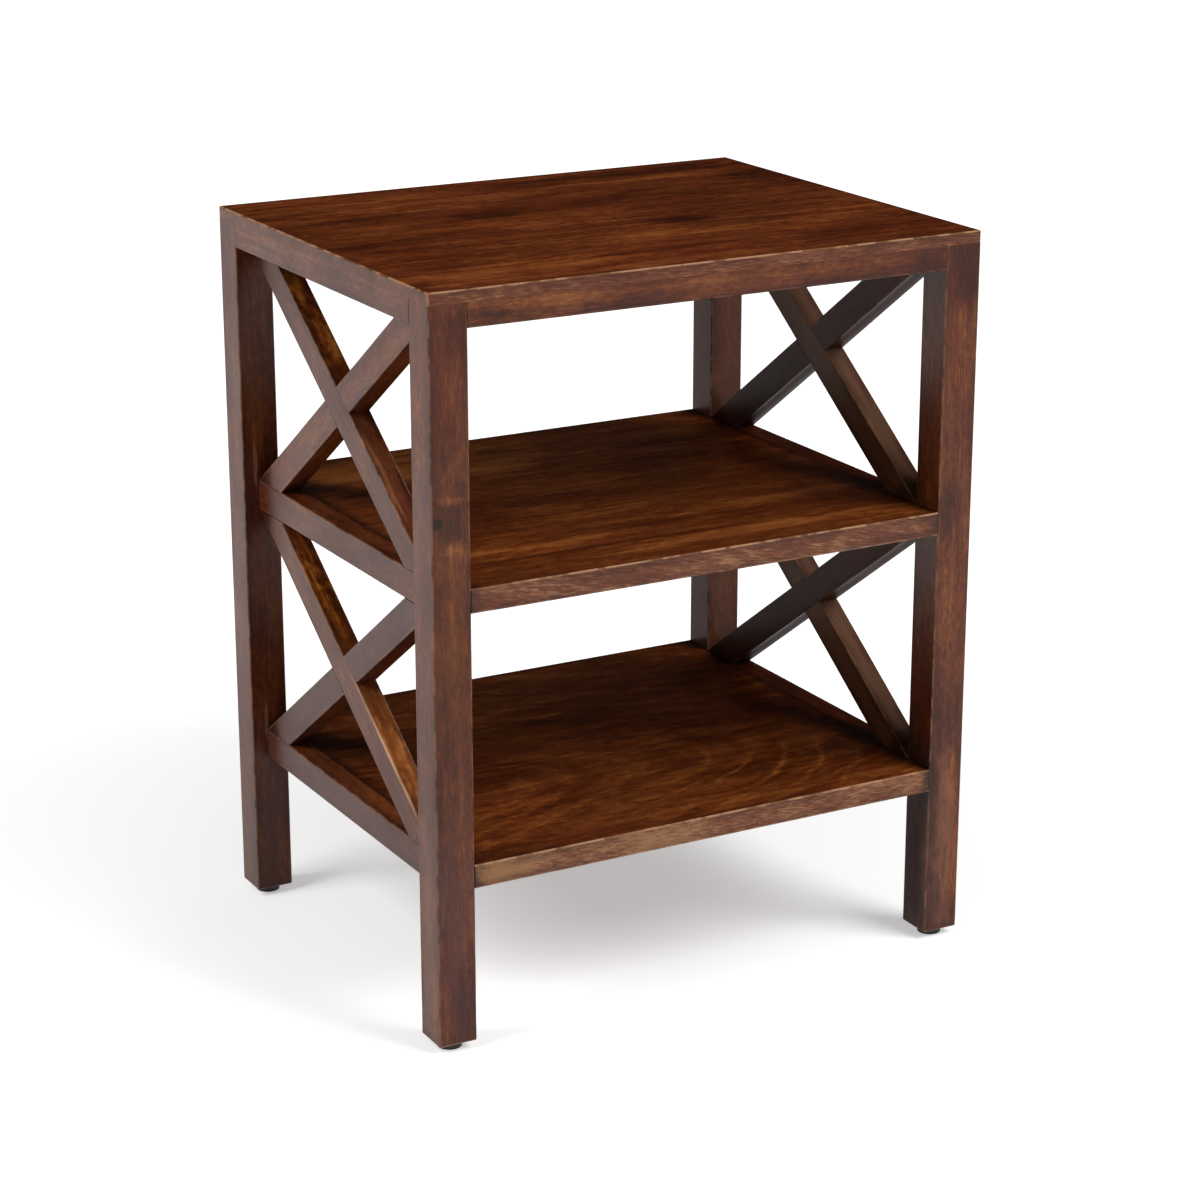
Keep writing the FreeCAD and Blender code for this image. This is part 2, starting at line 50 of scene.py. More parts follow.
# Strength of the surroundings as light on the object, and in a gloss above the horizon and at a soft box.
AMBIENT = 0.20
GLOSS_SKY = 0.012
GLOSS_LAMP = 0.6

# Floor: half its width in metres, and the two parts of its lift where it is seen, each with the distances
# from the table's middle between which it grows and its strength at both.
FLOOR_REACH = 15.0
FLOOR_LIFTS = ((0.35, 1.3, 0.42, 0.66), (1.3, 4.0, 0.0, 0.35))

# Width of a brace across its length, which its box doesn't give.
BRACE_WIDTH = 27 * MM

# Stains, from the darkest streaks to the golden ones, and the shades at which their colours stand. The
# shelves are browner than the top.
TOP_STAIN = ("#2e1105", "#431905", "#55250b", "#683213", "#874b23")
SHELF_STAIN = ("#2f1307", "#441b05", "#57280b", "#6a3513", "#8a5023")
BAR_STAIN = ("#331307", "#471e0e", "#562913", "#68361b", "#86502a")
STAIN_STOPS = (0.34, 0.43, 0.50, 0.57, 0.68)
RED_TINT = "#4a1a0a"
GOLD_TINT = "#6c4014"
# Narrow faces of the left braces: golden and mottled, or an even tan, lighter partly by painted light on
# these faces that look up.
GOLD_STAIN_AND_LIGHT = ("#351606", "#63300f", "#86491a", "#a86b2c")
TAN_STAIN_AND_LIGHT = ("#68371a", "#7e4622", "#8e532a", "#a86f3e")
NARROW_STOPS = (0.40, 0.48, 0.54, 0.62)
# Long edges of the boards.
EDGE_STAIN = ("#461f10", "#5f321f", "#73452f", "#986d4a")
EDGE_STOPS = (0.60, 0.76, 0.88, 1.02)
# Toner that gathers along edges and in patches, and a pale line on the edges that is partly bare wood where
# an edge is rubbed and partly a painted highlight.
TONER = "#2e120b"
RUBBED_AND_HIGHLIGHT = "#b58b6a"
# Open pores, darkening at the ends of a piece where it meets another, partly dirt and partly painted shade,
# and dark joint lines.
PORE = "#1c0904"
DIRT_AND_SHADE = "#1a0a06"
SEAM = "#0e0604"

# Figure of the wood: length and width of each kind of mark in millimetres and its share of the shade.
# Bend is how far the streaks wander sideways, and ring is the spacing of the growth rings and their share.
PANEL_FIGURE = {
    "cloud": (170, 60, 0.34), "streak": (95, 7, 0.36), "mottle": (13, 8, 0.16), "fleck": (9, 2.2, 0.34),
    "fibre": (34, 1.3, 0.20), "ring": (13, 0.12), "bend": 30}
BAR_FIGURE = {
    "cloud": (95, 45, 0.42), "streak": (120, 5, 0.20), "mottle": (8, 4.5, 0.24), "fleck": (7, 2.0, 0.26),
    "fibre": (26, 1.0, 0.30), "ring": (8, 0.10), "bend": 8}

# Look of a piece of wood, unless its kind or the piece itself says otherwise. Its kind also gives the
# stain, the figure, the offset and lean of the heart line, and the faces that are hidden.
PLAIN_LOOK = {
    "tone": 0.0,  # Push of the whole piece's shade.
    "shades": (),  # Patches that push the shade: middle, size, push.
    "arches": (),  # Arched growth lines: push of the shade, then what arches() takes.
    "gold": 0.20,  # Strength of the golden tint.
    "edge": None,  # Long edges of a board: push of their shade, slant of their flecks.
    "golden_and_lit": (),  # Golden or tan regions of a narrow face, partly painted light: middle, size, stain.
    "marks": (),  # Patches of another colour: middle, size, colour, strength, softness of the rim.
    "dirt_and_shade": 0.0,  # Strength of the darkening at the ends: dirt and painted shade.
    "seam": 0.0,  # Strength of the joint line at the ends.
    "toner": 0.6,  # Strength of the toner along the edges.
    "wear_and_highlight": 0.25,  # Strength of the pale line on the edges: rubbing and painted highlight.
    "dull": (),  # Duller patches: middle, size, extra roughness.
    "gloss": 0.22,  # Specular level of the lacquer.
}

# Patches are given in millimetres, by their middle (along, across and through the piece) and by their
# length and width. These are faces that they lie on, and the size of one that covers a whole piece.
BAR_FACE = -16.5  # Front or left face of a leg, or the front of the front top rail.
BRACE_FACE = -13.5  # Narrow face of a brace, on the side of the table's front.
BRACE_LEFT = 9.2  # Just under the face of a brace that looks to the left.
SLIM_HALF = 9.5  # Half the thickness of a side rail or brace.
BOARD_TOP = 5
SHELF_TOP = 10
CENTRE = (0, 0, 0)
WHOLE = (3000, 3000)

# Dark upper strip of the right side's lower rails.
DARK_RAIL = {"shades": (((0, 13, 0), (900, 50), -0.16),)}
# Painted sheen: a greyish cast on the outer face of the left side's lowest bars, given by the size, colour,
# strength and softness of its mark.
GREY_SHEEN = ((3000, 32), "#40292b", 0.45, 0.6)
# Braces of the right side: those that rise to the back are brown, and those that rise to the front are
# darkened by painted shade, most of all on their lower face.
BROWN_BRACE = {"gloss": 0.05, "marks": (
    (CENTRE, WHOLE, "#5a3c26", 0.60, 1.0), ((0, BRACE_FACE, 0), (700, 25), "#57433a", 0.7, 0.6),
    ((-70, 0, BRACE_LEFT), (280, 40), "#7d573c", 0.5, 0.8))}
SHADED_BRACE = {
    "gloss": 0.05, "dull": (((0, BRACE_FACE, 0), (3000, 20), 0.22),),
    # Painted shade over the whole brace, darker still on its lower face.
    "marks": ((CENTRE, WHOLE, "#391f18", 0.65, 1.0), ((0, BRACE_FACE, 0), (3000, 20), "#2b191a", 0.6, 0.8))}

# What each piece has of its own.
PIECE_LOOKS = {
    "front_left_leg": {
        "shades": (
            ((284, 0, BAR_FACE), (60, 44), -0.10), ((246, 4, BAR_FACE), (80, 20), 0.10),
            ((190, 0, BAR_FACE), (150, 44), -0.09), ((131, -2, BAR_FACE), (44, 26), -0.14),
            ((150, 0, BAR_FACE), (9, 34), 0.15), ((111, 6, BAR_FACE), (14, 30), 0.14),
            ((-205, 4, BAR_FACE), (100, 30), 0.05), ((-270, 5, BAR_FACE), (90, 26), -0.05),
            # Painted sheen: this patch lightens the lower part of the left face.
            ((-215, BAR_FACE, 0), (220, 40), 0.14)),
        "marks": (
            ((133, -12, BAR_FACE), (9.5, 9), "#160907", 0.9, 0.35),
            ((-200, 0, BAR_FACE), (330, 60), "#4a3335", 0.45, 1.0),
            ((240, 0, BAR_FACE), (150, 50), "#4e1e11", 0.35, 1.0),
            # Painted sheen: a greyer cast on the lower part of the left face.
            ((-200, BAR_FACE, 4), (330, 40), "#5d4c47", 0.4, 1.0))},
    "front_right_leg": {
        "shades": (
            ((285, 0, BAR_FACE), (90, 70), -0.18), ((200, 2, BAR_FACE), (200, 44), 0.03),
            ((78, -8, BAR_FACE), (60, 26), -0.14), ((0, 4, BAR_FACE), (120, 40), 0.07),
            ((-98, 0, BAR_FACE), (80, 40), -0.08), ((-215, 2, BAR_FACE), (180, 50), 0.19)),
        "marks": (
            # Painted shade: the lower part of the left face, which looks into the table, nearly black.
            ((-215, BAR_FACE, 0), (230, 56), "#1b1211", 0.8, 0.6),
            ((-230, 0, BAR_FACE), (260, 40), "#6a4b42", 0.35, 1.0)),
        "dull": (((-215, BAR_FACE, 0), (230, 56), 0.30),)},
    "back_left_leg": {
        # Painted shade: darker bands on the front face where the middle and bottom shelves meet the leg.
        "shades": (((72, 6, BAR_FACE), (110, 44), -0.10), ((-158, 6, BAR_FACE), (90, 44), -0.10)),
        "marks": (
            ((92, -5, BAR_FACE), (40, 4), "#8c6450", 0.5, 0.35),
            ((-142, -3, BAR_FACE), (34, 4), "#8c6450", 0.5, 0.35),
            ((-250, 0, BAR_FACE), (200, 60), "#33282a", 0.45, 1.0))},
    "back_right_leg": {
        "gloss": 0.10,
        # Painted shade: darker bands on the front face where the middle and bottom shelves meet the leg.
        "shades": (((72, 0, BAR_FACE), (110, 50), -0.14), ((-158, 0, BAR_FACE), (90, 50), -0.14)),
        # Painted shade: the whole leg darker, as it stands at the back of the table.
        "marks": ((CENTRE, WHOLE, "#3f2822", 0.70, 1.0),)},
    "front_top_rail": {
        "shades": (
            ((-110, BAR_FACE, 4), (330, 13), 0.12), ((90, BAR_FACE, 4), (240, 11), 0.06),
            ((-200, BAR_FACE, -2), (60, 26), -0.16), ((30, BAR_FACE, -9), (460, 10), -0.16),
            ((200, BAR_FACE, 0), (60, 30), -0.10))},
    "left_bottom_side_rail": {"marks": (((0, 0, -SLIM_HALF), *GREY_SHEEN),)},
    "right_middle_side_rail": DARK_RAIL,
    "right_bottom_side_rail": DARK_RAIL,
    "left_upper_brace_rising_back": {
        "toner": 0.9,
        "golden_and_lit": (((95, BRACE_FACE, 0), (210, 90), GOLD_STAIN_AND_LIGHT),),
        "marks": (
            ((-95, BRACE_FACE, 0), (200, 40), "#4a281f", 0.5, 0.8),
            ((-75, BRACE_FACE, 6), (120, 7), "#95613f", 0.6, 0.8))},
    "left_lower_brace_rising_back": {
        "toner": 0.45,
        "golden_and_lit": (
            ((95, BRACE_FACE, 0), (210, 90), GOLD_STAIN_AND_LIGHT), ((-85, BRACE_FACE, 0), (190, 90), TAN_STAIN_AND_LIGHT)),
        "marks": (
            ((95, BRACE_FACE, -6), (190, 10), "#2a1209", 0.6, 0.8),
            ((-90, BRACE_FACE, BRACE_LEFT), (150, 3.4), "#c39a75", 0.8, 0.5))},
    "left_lower_brace_rising_front": {"marks": (((0, 0, SLIM_HALF), *GREY_SHEEN),)},
    "right_upper_brace_rising_back": BROWN_BRACE,
    "right_lower_brace_rising_back": BROWN_BRACE,
    "right_upper_brace_rising_front": SHADED_BRACE,
    "right_lower_brace_rising_front": SHADED_BRACE,
    "top_board": {
        "stain": TOP_STAIN, "heart": (40, -90), "lean": 0.05, "hidden": ("-Z",), "tone": 0.01,
        # A strong pale line on its edges: rubbing and painted highlight.
        "edge": (-0.02, -0.05), "dirt_and_shade": 0.0, "seam": 0.0, "wear_and_highlight": 0.7,
        "shades": (
            ((60, -45, BOARD_TOP), (90, 40), -0.20), ((-65, 55, BOARD_TOP), (110, 44), -0.12),
            ((-10, -140, BOARD_TOP), (240, 16), -0.14), ((140, 165, BOARD_TOP), (330, 40), -0.12),
            ((235, 120, BOARD_TOP), (120, 150), -0.08), ((-236, -22, BOARD_TOP), (80, 22), -0.15),
            ((-190, -160, BOARD_TOP), (230, 90), 0.14), ((20, -95, BOARD_TOP), (300, 30), 0.08),
            ((-60, -186, BOARD_TOP), (420, 20), 0.11), ((170, -150, BOARD_TOP), (200, 80), -0.06),
            ((-170, 90, BOARD_TOP), (200, 60), -0.05))},
    "middle_shelf": {
        "heart": (-60, -80), "lean": 0.05, "tone": 0.02, "edge": (0.02, -0.16),
        "shades": (
            ((-95, -122, SHELF_TOP), (330, 22), 0.14), ((50, -165, SHELF_TOP), (360, 30), 0.15),
            ((140, -92, SHELF_TOP), (230, 18), 0.13), ((-20, -146, SHELF_TOP), (360, 12), -0.08),
            # The broad patch at the back is painted light in the shade under the top board.
            ((60, -112, SHELF_TOP), (300, 12), -0.09), ((-60, 150, SHELF_TOP), (460, 150), 0.14),
            # The last patch is painted shade in the back-right corner.
            ((190, 30, SHELF_TOP), (130, 330), -0.08), ((222, 185, SHELF_TOP), (80, 60), -0.25))},
    "bottom_shelf": {
        "figure": dict(PANEL_FIGURE, ring=(13, 0.20)), "heart": (-60, -45), "lean": -0.35,
        "edge": (0.14, -0.05),
        "shades": (
            ((-150, -155, SHELF_TOP), (130, 70), 0.10), ((30, -178, SHELF_TOP), (380, 36), 0.07),
            # The patch at the back is painted light in the shade under the middle shelf.
            ((0, 150, SHELF_TOP), (300, 120), 0.07), ((180, 60, SHELF_TOP), (150, 300), -0.09),
            # Painted shade in the back-right corner.
            ((222, 185, SHELF_TOP), (80, 60), -0.25)),
        "arches": ((0.13, (0, -60), (144, 110), 1.0, 0.24, ((85, -130, SHELF_TOP), (260, 150))),)},
}


def linear(code):
    """Linear colour of an sRGB hex code."""
    shares = [int(code[index:index + 2], 16) / 255 for index in (1, 3, 5)]
    return tuple(s / 12.92 if s <= 0.04045 else ((s + 0.055) / 1.055) ** 2.4 for s in shares) + (1.0,)


def grey(value):
    """A grey colour."""
    return (value, value, value, 1.0)


def ramp_stops(positions, colours):
    """Stops of a ramp from their positions and hex colours."""
    return [(position, linear(colour)) for position, colour in zip(positions, colours)]


def add(tree, kind, *values, sockets=(), stops=(), **settings):
    """Adds a node with its settings. Values go to its input sockets in order and the pairs in sockets
    to those they name, linked where the value is a node or a socket. Stops are those of a ramp."""
    node = tree.nodes.new("ShaderNode" + kind)
    for name, value in settings.items():
        setattr(node, name, value)
    if stops:
        ramp = node.color_ramp
        for _ in range(len(stops) - len(ramp.elements)):
            ramp.elements.new(0.5)
        for element, (position, colour) in zip(ramp.elements, stops):
            element.position = position
            element.color = colour
    free = [socket for socket in node.inputs if socket.enabled]
    for socket, value in list(zip(free, values)) + [(node.inputs[name], value) for name, value in sockets]:
        if isinstance(value, bpy.types.Node):
            value = next(output for output in value.outputs if output.enabled)
        if isinstance(value, bpy.types.NodeSocket):
            tree.links.new(value, socket)
        elif value is not None:
            socket.default_value = value
    return node


def new_material(name):
    """An empty node material."""
    material = bpy.data.materials.new(name)
    material.use_nodes = True
    material.node_tree.nodes.clear()
    return material


def dress(node, material):
    """Gives a node its material."""
    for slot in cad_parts[node].material_slots:
        slot.material = material


def stock(tree, centre, along, across):
    """Coordinates in metres on a piece of wood: X along its grain, Y across, Z through, from its centre."""
    turn = Matrix((along, across, along.cross(across))).transposed()
    coordinate = add(tree, "TexCoord").outputs["Object"]
    return add(tree, "Mapping", coordinate, centre, turn.to_euler(), vector_type="TEXTURE")


def stretched(tree, place, length, width, seed):
    """Coordinates in which one unit is the length along the grain and the width across and through it.
    The seed moves them, so that no two noises are the same."""
    sizes = (1 / length, 1 / width, 1 / width)
    shift = (seed * 1.7 % 9, seed * 3.1 % 7, seed * 2.3 % 8)
    return add(tree, "VectorMath", place, sizes, shift, operation="MULTIPLY_ADD")


def noise_of(tree, place, size, seed, detail=3.0, rough=0.55):
    """Soft noise whose marks have the length and width given in millimetres."""
    where = stretched(tree, place, size[0] * MM, size[1] * MM, seed)
    return add(tree, "TexNoise", where, 1.0, detail, rough)


def bent(tree, place, reach, seed):
    """Coordinates pushed sideways by a slow noise, so that straight streaks wander as real grain does."""
    sway = add(tree, "Math", noise_of(tree, place, (150, 55), seed, 2.0), 0.5, operation="SUBTRACT")
    push = add(tree, "CombineXYZ", 0.0, sway, sway)
    return add(tree, "VectorMath", push, (0.0, reach * MM, reach * MM), place, operation="MULTIPLY_ADD")


def growth(tree, place, heart, lean, spacing, seed):
    """Growth rings round a heart line that runs beside the piece at the offset heart = (across, through).

    The ring count at a point is its distance from the heart line, less lean times the way along the
    grain, divided by the ring spacing. Noise along that count gives uneven rings, which cut the faces
    as streaks where the heart is far and as arches where it is near.
    """
    parts = add(tree, "SeparateXYZ", place)
    across = add(tree, "Math", parts.outputs["Y"], heart[0] * MM, operation="SUBTRACT")
    through = add(tree, "Math", parts.outputs["Z"], heart[1] * MM, operation="SUBTRACT")
    flat = add(tree, "CombineXYZ", 0.0, across, through)
    radius = add(tree, "VectorMath", flat, operation="LENGTH").outputs["Value"]
    drift = add(tree, "Math", parts.outputs["X"], -lean, radius, operation="MULTIPLY_ADD")
    count = add(tree, "Math", drift, 1 / (spacing * MM), seed, operation="MULTIPLY_ADD")
    return add(tree, "TexNoise", count, 1.0, 3.0, 0.6, noise_dimensions="1D")


def patch(tree, place, middle, size, seed, soft=1.0):
    """How much a point lies in a ragged, soft-edged patch with the middle, length and width given in
    millimetres, from 0 to 1."""
    scale = Vector((2 / size[0], 2 / size[1], 2 / size[1])) / MM
    shift = Vector([-offset * MM * factor for offset, factor in zip(middle, scale)])
    local = add(tree, "VectorMath", place, scale, shift, operation="MULTIPLY_ADD")
    start = add(tree, "VectorMath", local, (seed % 9, seed % 7, seed % 5))
    ragged = add(tree, "TexNoise", start, 1.5, 4.0, 0.7)
    reach = add(tree, "VectorMath", local, operation="LENGTH").outputs["Value"]
    edge = add(tree, "Math", ragged, 2.0, reach, operation="MULTIPLY_ADD")
    rim = 2.1
    return add(tree, "MapRange", edge, rim - soft, rim, 1.0, 0.0, interpolation_type="SMOOTHSTEP")


def arches(tree, place, middle, size, first, step, region, seed):
    """Thin arched growth lines: where the distance from middle, measured in an ellipse of the size given,
    is first or a whole number of steps from it. They fade out at the rim of their region."""
    scale = Vector((1 / size[0], 1 / size[1], 0)) / MM
    shift = Vector((-middle[0] / size[0], -middle[1] / size[1], 0))
    local = add(tree, "VectorMath", place, scale, shift, operation="MULTIPLY_ADD")
    reach = add(tree, "VectorMath", local, operation="LENGTH").outputs["Value"]
    wander = noise_of(tree, place, (60, 40), seed, 3.0)
    strength = 0.16
    count = add(tree, "Math", wander, strength, reach, operation="MULTIPLY_ADD")
    count = add(tree, "Math", count, first + strength / 2, operation="SUBTRACT")
    gap = add(tree, "Math", count, step / 2, operation="PINGPONG")
    line = add(tree, "MapRange", gap, 0.004, 0.032, 1.0, 0.0)
    return add(tree, "Math", line, patch(tree, place, *region, seed + 1), operation="MULTIPLY")


def stained(tree, place, look, seed):
    """Colour of the stained wood and its fibre.

    Clouds, streaks, mottling, flecks, fibre and growth rings add up to one shade, which picks a stain.
    Patches of the piece's own push the shade up or down. Slow patches turn it redder or more golden.
    """
    figure = look["figure"]
    wavy = bent(tree, place, figure["bend"], seed + 7)
    fibre = noise_of(tree, wavy, figure["fibre"][:2], seed + 2, 4.0, 0.65)
    spacing, share = figure["ring"]
    layers = [(growth(tree, wavy, look["heart"], look["lean"], spacing, seed), share),
              (fibre, figure["fibre"][2])]
    for step, kind in enumerate(("cloud", "streak", "mottle", "fleck")):
        length, width, weight = figure[kind]
        layers.append((noise_of(tree, wavy, (length, width), seed + 3 * step, 4.0, 0.6), weight))
    total = sum(weight for _, weight in layers)
    for step, (middle, size, push) in enumerate(look["shades"]):
        layers.append((patch(tree, place, middle, size, seed + 1.7 * step), push))
    for push, *curve in look["arches"]:
        layers.append((arches(tree, place, *curve, seed + 9), push))
    shade = look["tone"] + 0.5 * (1 - total)
    for layer, weight in layers:
        shade = add(tree, "Math", layer, weight, shade, operation="MULTIPLY_ADD")
    colour = add(tree, "ValToRGB", shade, stops=ramp_stops(STAIN_STOPS, look["stain"]))
    hue = noise_of(tree, place, (120, 45), seed + 6, 2.0)
    red = add(tree, "MapRange", hue, 0.50, 0.66, 0.0, 0.40)
    colour = add(tree, "Mix", red, colour, linear(RED_TINT), data_type="RGBA")
    gold = add(tree, "MapRange", hue, 0.46, 0.32, 0.0, look["gold"])
    return add(tree, "Mix", gold, colour, linear(GOLD_TINT), data_type="RGBA"), fibre


def pore_marks(tree, place, seed):
    """Open pores as short dark dashes. Real ones are 0.2 mm wide, drawn wider so that they show."""
    cells = add(tree, "TexVoronoi", stretched(tree, place, 5 * MM, 0.7 * MM, seed), 1.0, feature="F1")
    core = add(tree, "MapRange", cells.outputs["Distance"], 0.12, 0.34, 1.0, 0.0)
    pick = add(tree, "SeparateColor", cells.outputs["Color"])
    chosen = add(tree, "MapRange", pick.outputs["Red"], 0.65, 0.95, 0.0, 1.0)
    return add(tree, "Math", core, chosen, operation="MULTIPLY")


def face_gaps(tree, place, half, hidden):
    """Distance to the nearest face along, across and through the piece. A face named in hidden, such as
    +X, lies against another piece and doesn't count."""
    parts = add(tree, "SeparateXYZ", place)
    gaps = []
    for axis, size in zip("XYZ", half):
        way = parts.outputs[axis]
        if "-" + axis in hidden and "+" + axis in hidden:
            gaps.append(1.0)
        elif "+" + axis in hidden:
            gaps.append(add(tree, "Math", way, size, operation="ADD"))
        elif "-" + axis in hidden:
            gaps.append(add(tree, "Math", size, way, operation="SUBTRACT"))
        else:
            way = add(tree, "Math", way, operation="ABSOLUTE")
            gaps.append(add(tree, "Math", size, way, operation="SUBTRACT"))
    return gaps


def edge_gap(tree, gaps):
    """Distance to the nearest edge: the middle one of the three distances to faces."""
    low = add(tree, "Math", gaps[0], gaps[1], operation="MINIMUM")
    high = add(tree, "Math", gaps[0], gaps[1], operation="MAXIMUM")
    high = add(tree, "Math", high, gaps[2], operation="MINIMUM")
    return add(tree, "Math", low, high, operation="MAXIMUM")


def board_edge(tree, place, colour, gap, tone, slant, seed):
    """The long edge of a board takes the stain lighter and shows tan flecks at a slant."""
    turned = add(tree, "Mapping", place, None, (0.0, slant, 0.0))
    flecks = noise_of(tree, turned, (11, 1.5), seed + 8, 4.0, 0.65)
    clouds = noise_of(tree, place, (70, 25), seed + 9, 2.0)
    shade = add(tree, "Math", clouds, 0.6, flecks, operation="MULTIPLY_ADD")
    shade = add(tree, "Math", shade, tone, operation="ADD")
    tan = add(tree, "ValToRGB", shade, stops=ramp_stops(EDGE_STOPS, EDGE_STAIN))
    face = add(tree, "MapRange", gap, 0.4 * MM, 1.4 * MM, 0.8, 0.0)
    return add(tree, "Mix", face, colour, tan, data_type="RGBA")


def golden_and_lit_face(tree, place, colour, half, middle, size, stain, seed):
    """The narrow face of a brace at its -Y side, golden or tan and mottled: partly its stain and partly
    painted light on a face that looks up.
    """
    depth = add(tree, "Math", add(tree, "SeparateXYZ", place).outputs["Y"], half[1], operation="ADD")
    face = add(tree, "MapRange", depth, 0.6 * MM, 1.6 * MM, 0.9, 0.0)
    inside = add(tree, "Math", face, patch(tree, place, middle, size, seed), operation="MULTIPLY")
    streaks = noise_of(tree, place, (34, 4.5), seed + 8, 4.0, 0.65)
    mottle = noise_of(tree, place, (11, 8), seed + 9, 3.0, 0.6)
    shade = add(tree, "Mix", 0.45, streaks, mottle)
    gold = add(tree, "ValToRGB", shade, stops=ramp_stops(NARROW_STOPS, stain))
    return add(tree, "Mix", inside, colour, gold, data_type="RGBA")


def soiled_and_shaded_ends(tree, place, colour, half, look, seed):
    """Ragged darkening in the corners at both ends of a piece, partly dirt and partly painted shade where it
    meets another piece, and the dark line of the joint itself.
    """
    way = add(tree, "Math", add(tree, "SeparateXYZ", place), operation="ABSOLUTE")
    from_end = add(tree, "Math", half[0], way, operation="SUBTRACT")
    ragged = noise_of(tree, place, (9, 9), seed + 10, 3.0)
    low = add(tree, "Math", ragged, 0.016, from_end, operation="MULTIPLY_ADD")
    # Painted shade and dirt: darker close to each end, where the piece meets another.
    dirty_and_shaded = add(tree, "MapRange", low, 0.008, 0.020, look["dirt_and_shade"], 0.0)
    colour = add(tree, "Mix", dirty_and_shaded, colour, linear(DIRT_AND_SHADE), data_type="RGBA")
    seam = add(tree, "MapRange", from_end, 0.4 * MM, 1.2 * MM, look["seam"], 0.0)
    return add(tree, "Mix", seam, colour, linear(SEAM), data_type="RGBA")


def worn_and_highlit_edges(tree, place, colour, gap, patches, look, seed):
    """Toner in patches beside the edges, and a broken pale line on them, partly where they are rubbed pale
    and partly a painted highlight of the rounded edge.
    """
    near = add(tree, "MapRange", gap, 1 * MM, 9 * MM, 1.0, 0.0)
    amount = add(tree, "MapRange", patches, 0.40, 0.62, 0.0, look["toner"])
    toned = add(tree, "Math", near, amount, operation="MULTIPLY")
    colour = add(tree, "Mix", toned, colour, linear(TONER), data_type="RGBA")
    # Painted highlight and rubbing: a pale line on the rounded edge, broken in places.
    rub_and_highlight_band = add(tree, "MapRange", gap, 0.6 * MM, 1.7 * MM, 1.0, 0.0)
    breaks = noise_of(tree, place, (16, 16), seed + 12, 2.0)
    reach = add(tree, "MapRange", breaks, 0.44, 0.56, 0.25 * look["wear_and_highlight"], look["wear_and_highlight"])
    rubbed_and_highlit = add(tree, "Math", rub_and_highlight_band, reach, operation="MULTIPLY")
    return add(tree, "Mix", rubbed_and_highlit, colour, linear(RUBBED_AND_HIGHLIGHT), data_type="RGBA")


def wood(tree, place, half, look, seed):
    """Stained and satin lacquered mango wood.

    The stain is uneven and the pores stay open, so the colour is cloudy and streaked. Toner gathers
    along the edges, which carry a pale line that is partly rubbing and partly a painted highlight,
    and the lacquer follows the fibre.
    """
    colour, fibre = stained(tree, place, look, seed)
    pores = pore_marks(tree, place, seed + 4)
    share = add(tree, "Math", pores, 0.25, operation="MULTIPLY")
    colour = add(tree, "Mix", share, colour, linear(PORE), data_type="RGBA")
    gaps = face_gaps(tree, place, half, look["hidden"])
    if look["edge"]:
        colour = board_edge(tree, place, colour, gaps[1], *look["edge"], seed)
    # Golden faces, partly painted light on the upward narrow face.
    for region in look["golden_and_lit"]:
        colour = golden_and_lit_face(tree, place, colour, half, *region, seed)
    for middle, size, shade, strength, soft in look["marks"]:
        inside = patch(tree, place, middle, size, seed, soft)
        amount = add(tree, "Math", inside, strength, operation="MULTIPLY")
        colour = add(tree, "Mix", amount, colour, linear(shade), data_type="RGBA")
    # Darker ends, partly dirt and partly painted shade, and the joint line.
    colour = soiled_and_shaded_ends(tree, place, colour, half, look, seed)
    gap = edge_gap(tree, gaps)
    patches = noise_of(tree, place, (60, 30), seed + 5, 2.0)
    # Toner, and the pale edge line of rubbing and painted highlight.
    colour = worn_and_highlit_edges(tree, place, colour, gap, patches, look, seed)

    height = add(tree, "Math", pores, -0.08, fibre, operation="MULTIPLY_ADD")
    bump = add(tree, "Bump", 0.20, 0.12 * MM, sockets=[("Height", height)])
    rough = add(tree, "MapRange", patches, 0.3, 0.7, 0.27, 0.36)
    for middle, size, extra in look["dull"]:
        inside = patch(tree, place, middle, size, seed)
        rough = add(tree, "Math", inside, extra, rough, operation="MULTIPLY_ADD")
    shader = add(tree, "BsdfPrincipled", sockets=[
        ("Base Color", colour), ("Roughness", rough), ("Normal", bump),
        ("Specular IOR Level", look["gloss"])])
    add(tree, "OutputMaterial", shader)


def box_of(node):
    """Centre and half size of a node."""
    low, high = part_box(node)
    return (low + high) / 2, (high - low) / 2


def make_wood(node, along, across, seed, kind, half=None):
    """A wood material for one node, laid out along its own grain. Kind is the look of its kind."""
    centre, size = box_of(node)
    material = new_material("stained_mango_" + node)
    tree = material.node_tree
    if half is None:
        half = [abs(size.dot(axis)) for axis in (along, across, along.cross(across))]
    look = {**PLAIN_LOOK, **kind, **PIECE_LOOKS.get(node, {})}
    wood(tree, stock(tree, centre, along, across), half, look, seed)
    dress(node, material)


def brace_direction(size, lean):
    """Direction of a brace whose box has the half size given. Its level end cut takes up
    width * length / height of the box's depth, and the rest is its run."""
    depth, height = 2 * size.y, 2 * size.z
    run = depth
    for _ in range(30):
        run = depth - BRACE_WIDTH * math.hypot(run, height) / height
    return Vector((0, lean * run, height)).normalized()


